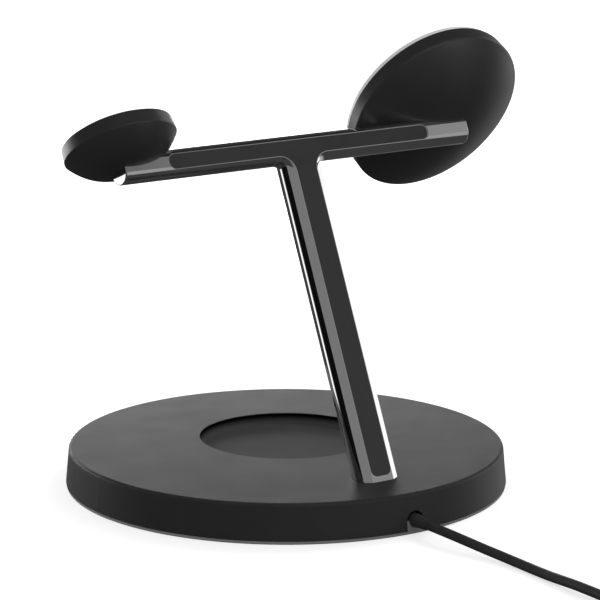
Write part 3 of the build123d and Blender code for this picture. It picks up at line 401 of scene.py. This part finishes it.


# Looks by material slot: darkest and lightest colour, least and most roughness, the grain's size and
# relief, and where it matters the clouds' size, how metallic it is and a finish of its own; the
# housing's finish paints shade on the earbud well's wall and light on its floor
WARM = (1.0, 1.0, 0.99)
COOL = (1.0, 1.01, 1.04)
LOOKS = {
    "dark_housing": dict(
        dark=grey(0.026), light=grey(0.030), roughness=(0.52, 0.56),
        grain=0.16 * MM, relief=0.006 * MM, finish=housing_finish_and_painted_well_shading,
    ),
    "grey_pad": dict(
        dark=grey(0.25), light=grey(0.30), roughness=(0.6, 0.72), grain=0.2 * MM, relief=0.01 * MM,
    ),
    "inner_plastic": dict(
        dark=grey(0.025), light=grey(0.036), roughness=(0.45, 0.6), grain=0.3 * MM, relief=0.01 * MM,
    ),
    "steel": dict(
        dark=grey(0.46, COOL), light=grey(0.56, COOL), roughness=(0.28, 0.42),
        grain=0.25 * MM, relief=0.004 * MM, metallic=1.0,
    ),
    "ferrite": dict(
        dark=grey(0.04, COOL), light=grey(0.06, COOL), roughness=(0.5, 0.7),
        grain=0.25 * MM, relief=0.015 * MM,
    ),
    "board": dict(
        dark=(0.012, 0.085, 0.04, 1.0), light=(0.025, 0.14, 0.07, 1.0), roughness=(0.25, 0.4),
        grain=0.5 * MM, relief=0.01 * MM, cloud=4 * MM,
    ),
    "white_plastic": dict(
        dark=grey(0.74, WARM), light=grey(0.82, WARM), roughness=(0.4, 0.5),
        grain=0.3 * MM, relief=0.006 * MM,
    ),
    "polished_metal": dict(
        dark=grey(0.80), light=grey(0.84), roughness=(0.03, 0.05),
        grain=0.5 * MM, relief=0.0, cloud=20 * MM, metallic=1.0,
    ),
    "inlay": dict(
        dark=grey(0.031), light=grey(0.037), roughness=(0.42, 0.52), grain=0.14 * MM, relief=0.005 * MM,
    ),
    "bright_ring": dict(
        dark=grey(0.86), light=grey(0.90), roughness=(0.35, 0.45),
        grain=0.12 * MM, relief=0.002 * MM, metallic=0.1,
    ),
    "white_face": dict(
        dark=grey(0.76), light=grey(0.82), roughness=(0.45, 0.55), grain=0.2 * MM, relief=0.006 * MM,
    ),
    "cord_rubber": dict(
        dark=grey(0.028), light=grey(0.038), roughness=(0.45, 0.58),
        grain=0.3 * MM, relief=0.008 * MM, cloud=6 * MM,
    ),
    "plug_plastic": dict(
        dark=grey(0.032), light=grey(0.042), roughness=(0.42, 0.55), grain=0.18 * MM, relief=0.008 * MM,
    ),
    "plug_metal": dict(
        dark=grey(0.66), light=grey(0.74), roughness=(0.16, 0.26),
        grain=0.2 * MM, relief=0.002 * MM, metallic=1.0,
    ),
    "lead_sheath": dict(
        dark=(0.26, 0.035, 0.03, 1.0), light=(0.36, 0.055, 0.045, 1.0), roughness=(0.4, 0.5),
        grain=0.3 * MM, relief=0.006 * MM,
    ),
}
materials = {slot: surface(slot, **look) for slot, look in LOOKS.items()}
materials["copper"] = wound_copper("copper")


def dress(piece, slot):
    """Gives a piece the one material of its slot."""
    piece.data.materials.clear()
    piece.data.materials.append(materials[slot])


for subpart in frame["record"]["subparts"]:
    dress(nodes[subpart["node"]], subpart["material_slot"])
dress(make_cord(), "cord_rubber")


def make_camera():
    """The camera at the photograph's angle."""
    back = Vector((sin(VIEW_TURN) * cos(VIEW_RISE), cos(VIEW_TURN) * cos(VIEW_RISE), sin(VIEW_RISE)))
    level_right = Vector((-cos(VIEW_TURN), sin(VIEW_TURN), 0))
    level_up = back.cross(level_right)
    right = level_right * cos(VIEW_ROLL) + level_up * sin(VIEW_ROLL)
    up = level_up * cos(VIEW_ROLL) - level_right * sin(VIEW_ROLL)
    target = Vector((0, 0, VIEW_HEIGHT)) + right * VIEW_SHIFT_RIGHT + up * VIEW_SHIFT_UP
    data = bpy.data.cameras.new("camera")
    data.sensor_width = SENSOR_WIDTH
    data.lens = FOCAL_LENGTH
    camera = bpy.data.objects.new("camera", data)
    turned = Matrix((right, up, back)).transposed().to_4x4()
    camera.matrix_world = Matrix.Translation(target + back * VIEW_DISTANCE) @ turned
    bpy.context.scene.collection.objects.link(camera)
    bpy.context.scene.camera = camera


def make_world():
    """White to the camera, the studio to metal, and an even soft light to matte surfaces."""
    world = bpy.data.worlds.new("studio")
    bpy.context.scene.world = world
    world.use_nodes = True
    g = Graph(world.node_tree)
    direction = g.node("ShaderNodeTexCoord").outputs["Generated"]

    def facing(towards):
        """How much a ray points that way, from -1 to 1."""
        dot = g.node("ShaderNodeVectorMath", operation="DOT_PRODUCT")
        g.feed(dot.inputs[0], direction)
        dot.inputs[1].default_value = towards
        return dot.outputs["Value"]

    def lobe(towards, full, gone):
        """1 near a direction and 0 away from it, by degrees."""
        return g.ramp(facing(towards.normalized()), cos(radians(gone)), cos(radians(full)))

    def add_card(behind, card):
        return g.fade(lobe(card.towards, card.full, card.gone), behind, card.level)

    leftness = facing((1, 0, 0))
    nearness = facing((0, 1, 0))
    upness = facing((0, 0, 1))
    front = g.ramp(leftness, *FRONT_RIGHT_TO_MID, FRONT_LEVEL_RIGHT, FRONT_LEVEL_MID)
    front = g.fade(g.ramp(leftness, *FRONT_MID_TO_LEFT), front, FRONT_LEVEL_LEFT)
    studio = g.fade(g.ramp(upness, OVERHEAD_START, OVERHEAD_END), ROOM_LEVEL, OVERHEAD_LEVEL)
    studio = g.fade(lobe(FRONT_SIDE, FRONT_FULL, FRONT_GONE), studio, front)
    for card in (LOW_FRONT, RIGHT_FLOOR, RIGHT_CARD, LEFT_CARD):
        studio = add_card(studio, card)
    off_strip = g.math("ABSOLUTE", facing(STRIP_NORMAL.normalized()))
    strip = g.math("MULTIPLY", g.ramp(off_strip, *STRIP_EDGE), g.ramp(nearness, *STRIP_END_Y))
    strip = g.math("MULTIPLY", strip, g.ramp(leftness, *STRIP_END_X))
    studio = g.fade(strip, studio, STRIP_LEVEL)
    studio = add_card(studio, BLACK_CARD)
    soft = g.ramp(upness, 0.0, 1.0, AMBIENT_SIDE, AMBIENT_UP)
    path = g.node("ShaderNodeLightPath")
    mirrored = g.math("MAXIMUM", path.outputs["Is Glossy Ray"], path.outputs["Is Transmission Ray"])
    level = g.fade(path.outputs["Is Camera Ray"], g.fade(mirrored, soft, studio), 1.0)
    shade = g.node("ShaderNodeBackground")
    g.feed(shade.inputs["Strength"], level)
    shade.inputs["Color"].default_value = grey(1.0)
    out = g.node("ShaderNodeOutputWorld")
    g.feed(out.inputs["Surface"], shade.outputs["Background"])


def make_floor():
    """A plain pale floor that keeps the shadow; metal doesn't show it, as in the photograph."""
    half = FLOOR_SIZE / 2
    mesh = bpy.data.meshes.new("floor")
    corners = [(-half, -half, 0), (half, -half, 0), (half, half, 0), (-half, half, 0)]
    mesh.from_pydata(corners, [], [(0, 1, 2, 3)])
    floor = bpy.data.objects.new("floor", mesh)
    floor.location.z = -FLOOR_DROP
    floor.visible_glossy = False
    bpy.context.scene.collection.objects.link(floor)
    made, g = new_material("floor")
    seen = g.node("ShaderNodeLightPath").outputs["Is Camera Ray"]
    pale = g.node("ShaderNodeBsdfDiffuse")
    g.feed(pale.inputs["Color"], g.blend(seen, grey(FLOOR_BOUNCE), grey(FLOOR_TONE)))
    glow = g.node("ShaderNodeEmission")
    off_middle = g.node("ShaderNodeVectorMath", operation="LENGTH")
    g.feed(off_middle.inputs[0], g.node("ShaderNodeTexCoord").outputs["Object"])
    level = g.ramp(off_middle.outputs["Value"], FLOOR_NEAR, FLOOR_FAR, FLOOR_GLOW, 1.0)
    g.feed(glow.inputs["Strength"], g.math("MULTIPLY", seen, level))
    both = g.node("ShaderNodeAddShader")
    g.feed(both.inputs[0], pale.outputs["BSDF"])
    g.feed(both.inputs[1], glow.outputs["Emission"])
    out = g.node("ShaderNodeOutputMaterial")
    g.feed(out.inputs["Surface"], both.outputs["Shader"])
    mesh.materials.append(made)


def make_lamp(name, place, width, height, power, glossy=True):
    """An area lamp aimed at the charger, which the camera doesn't see."""
    data = bpy.data.lights.new(name, "AREA")
    data.shape = "RECTANGLE"
    data.size = width
    data.size_y = height
    data.energy = power
    lamp = bpy.data.objects.new(name, data)
    lamp.location = place
    lamp.rotation_mode = "QUATERNION"
    lamp.rotation_quaternion = (LAMP_AIM - place).to_track_quat("-Z", "Y")
    lamp.visible_camera = False
    lamp.visible_glossy = glossy
    bpy.context.scene.collection.objects.link(lamp)


make_camera()
make_world()
make_floor()
away = Vector((-sin(VIEW_TURN), -cos(VIEW_TURN), 0))
leftward = Vector((cos(VIEW_TURN), -sin(VIEW_TURN), 0))
back_card_place = away * BACK_CARD_AWAY + leftward * BACK_CARD_LEFT + Vector((0, 0, BACK_CARD_UP))
make_lamp("softbox", SOFTBOX_PLACE, SOFTBOX_SIZE, SOFTBOX_SIZE, SOFTBOX_POWER, glossy=False)
make_lamp("back card", back_card_place, BACK_CARD_WIDTH, BACK_CARD_HEIGHT, BACK_CARD_POWER)
bpy.context.scene.view_settings.view_transform = "Standard"
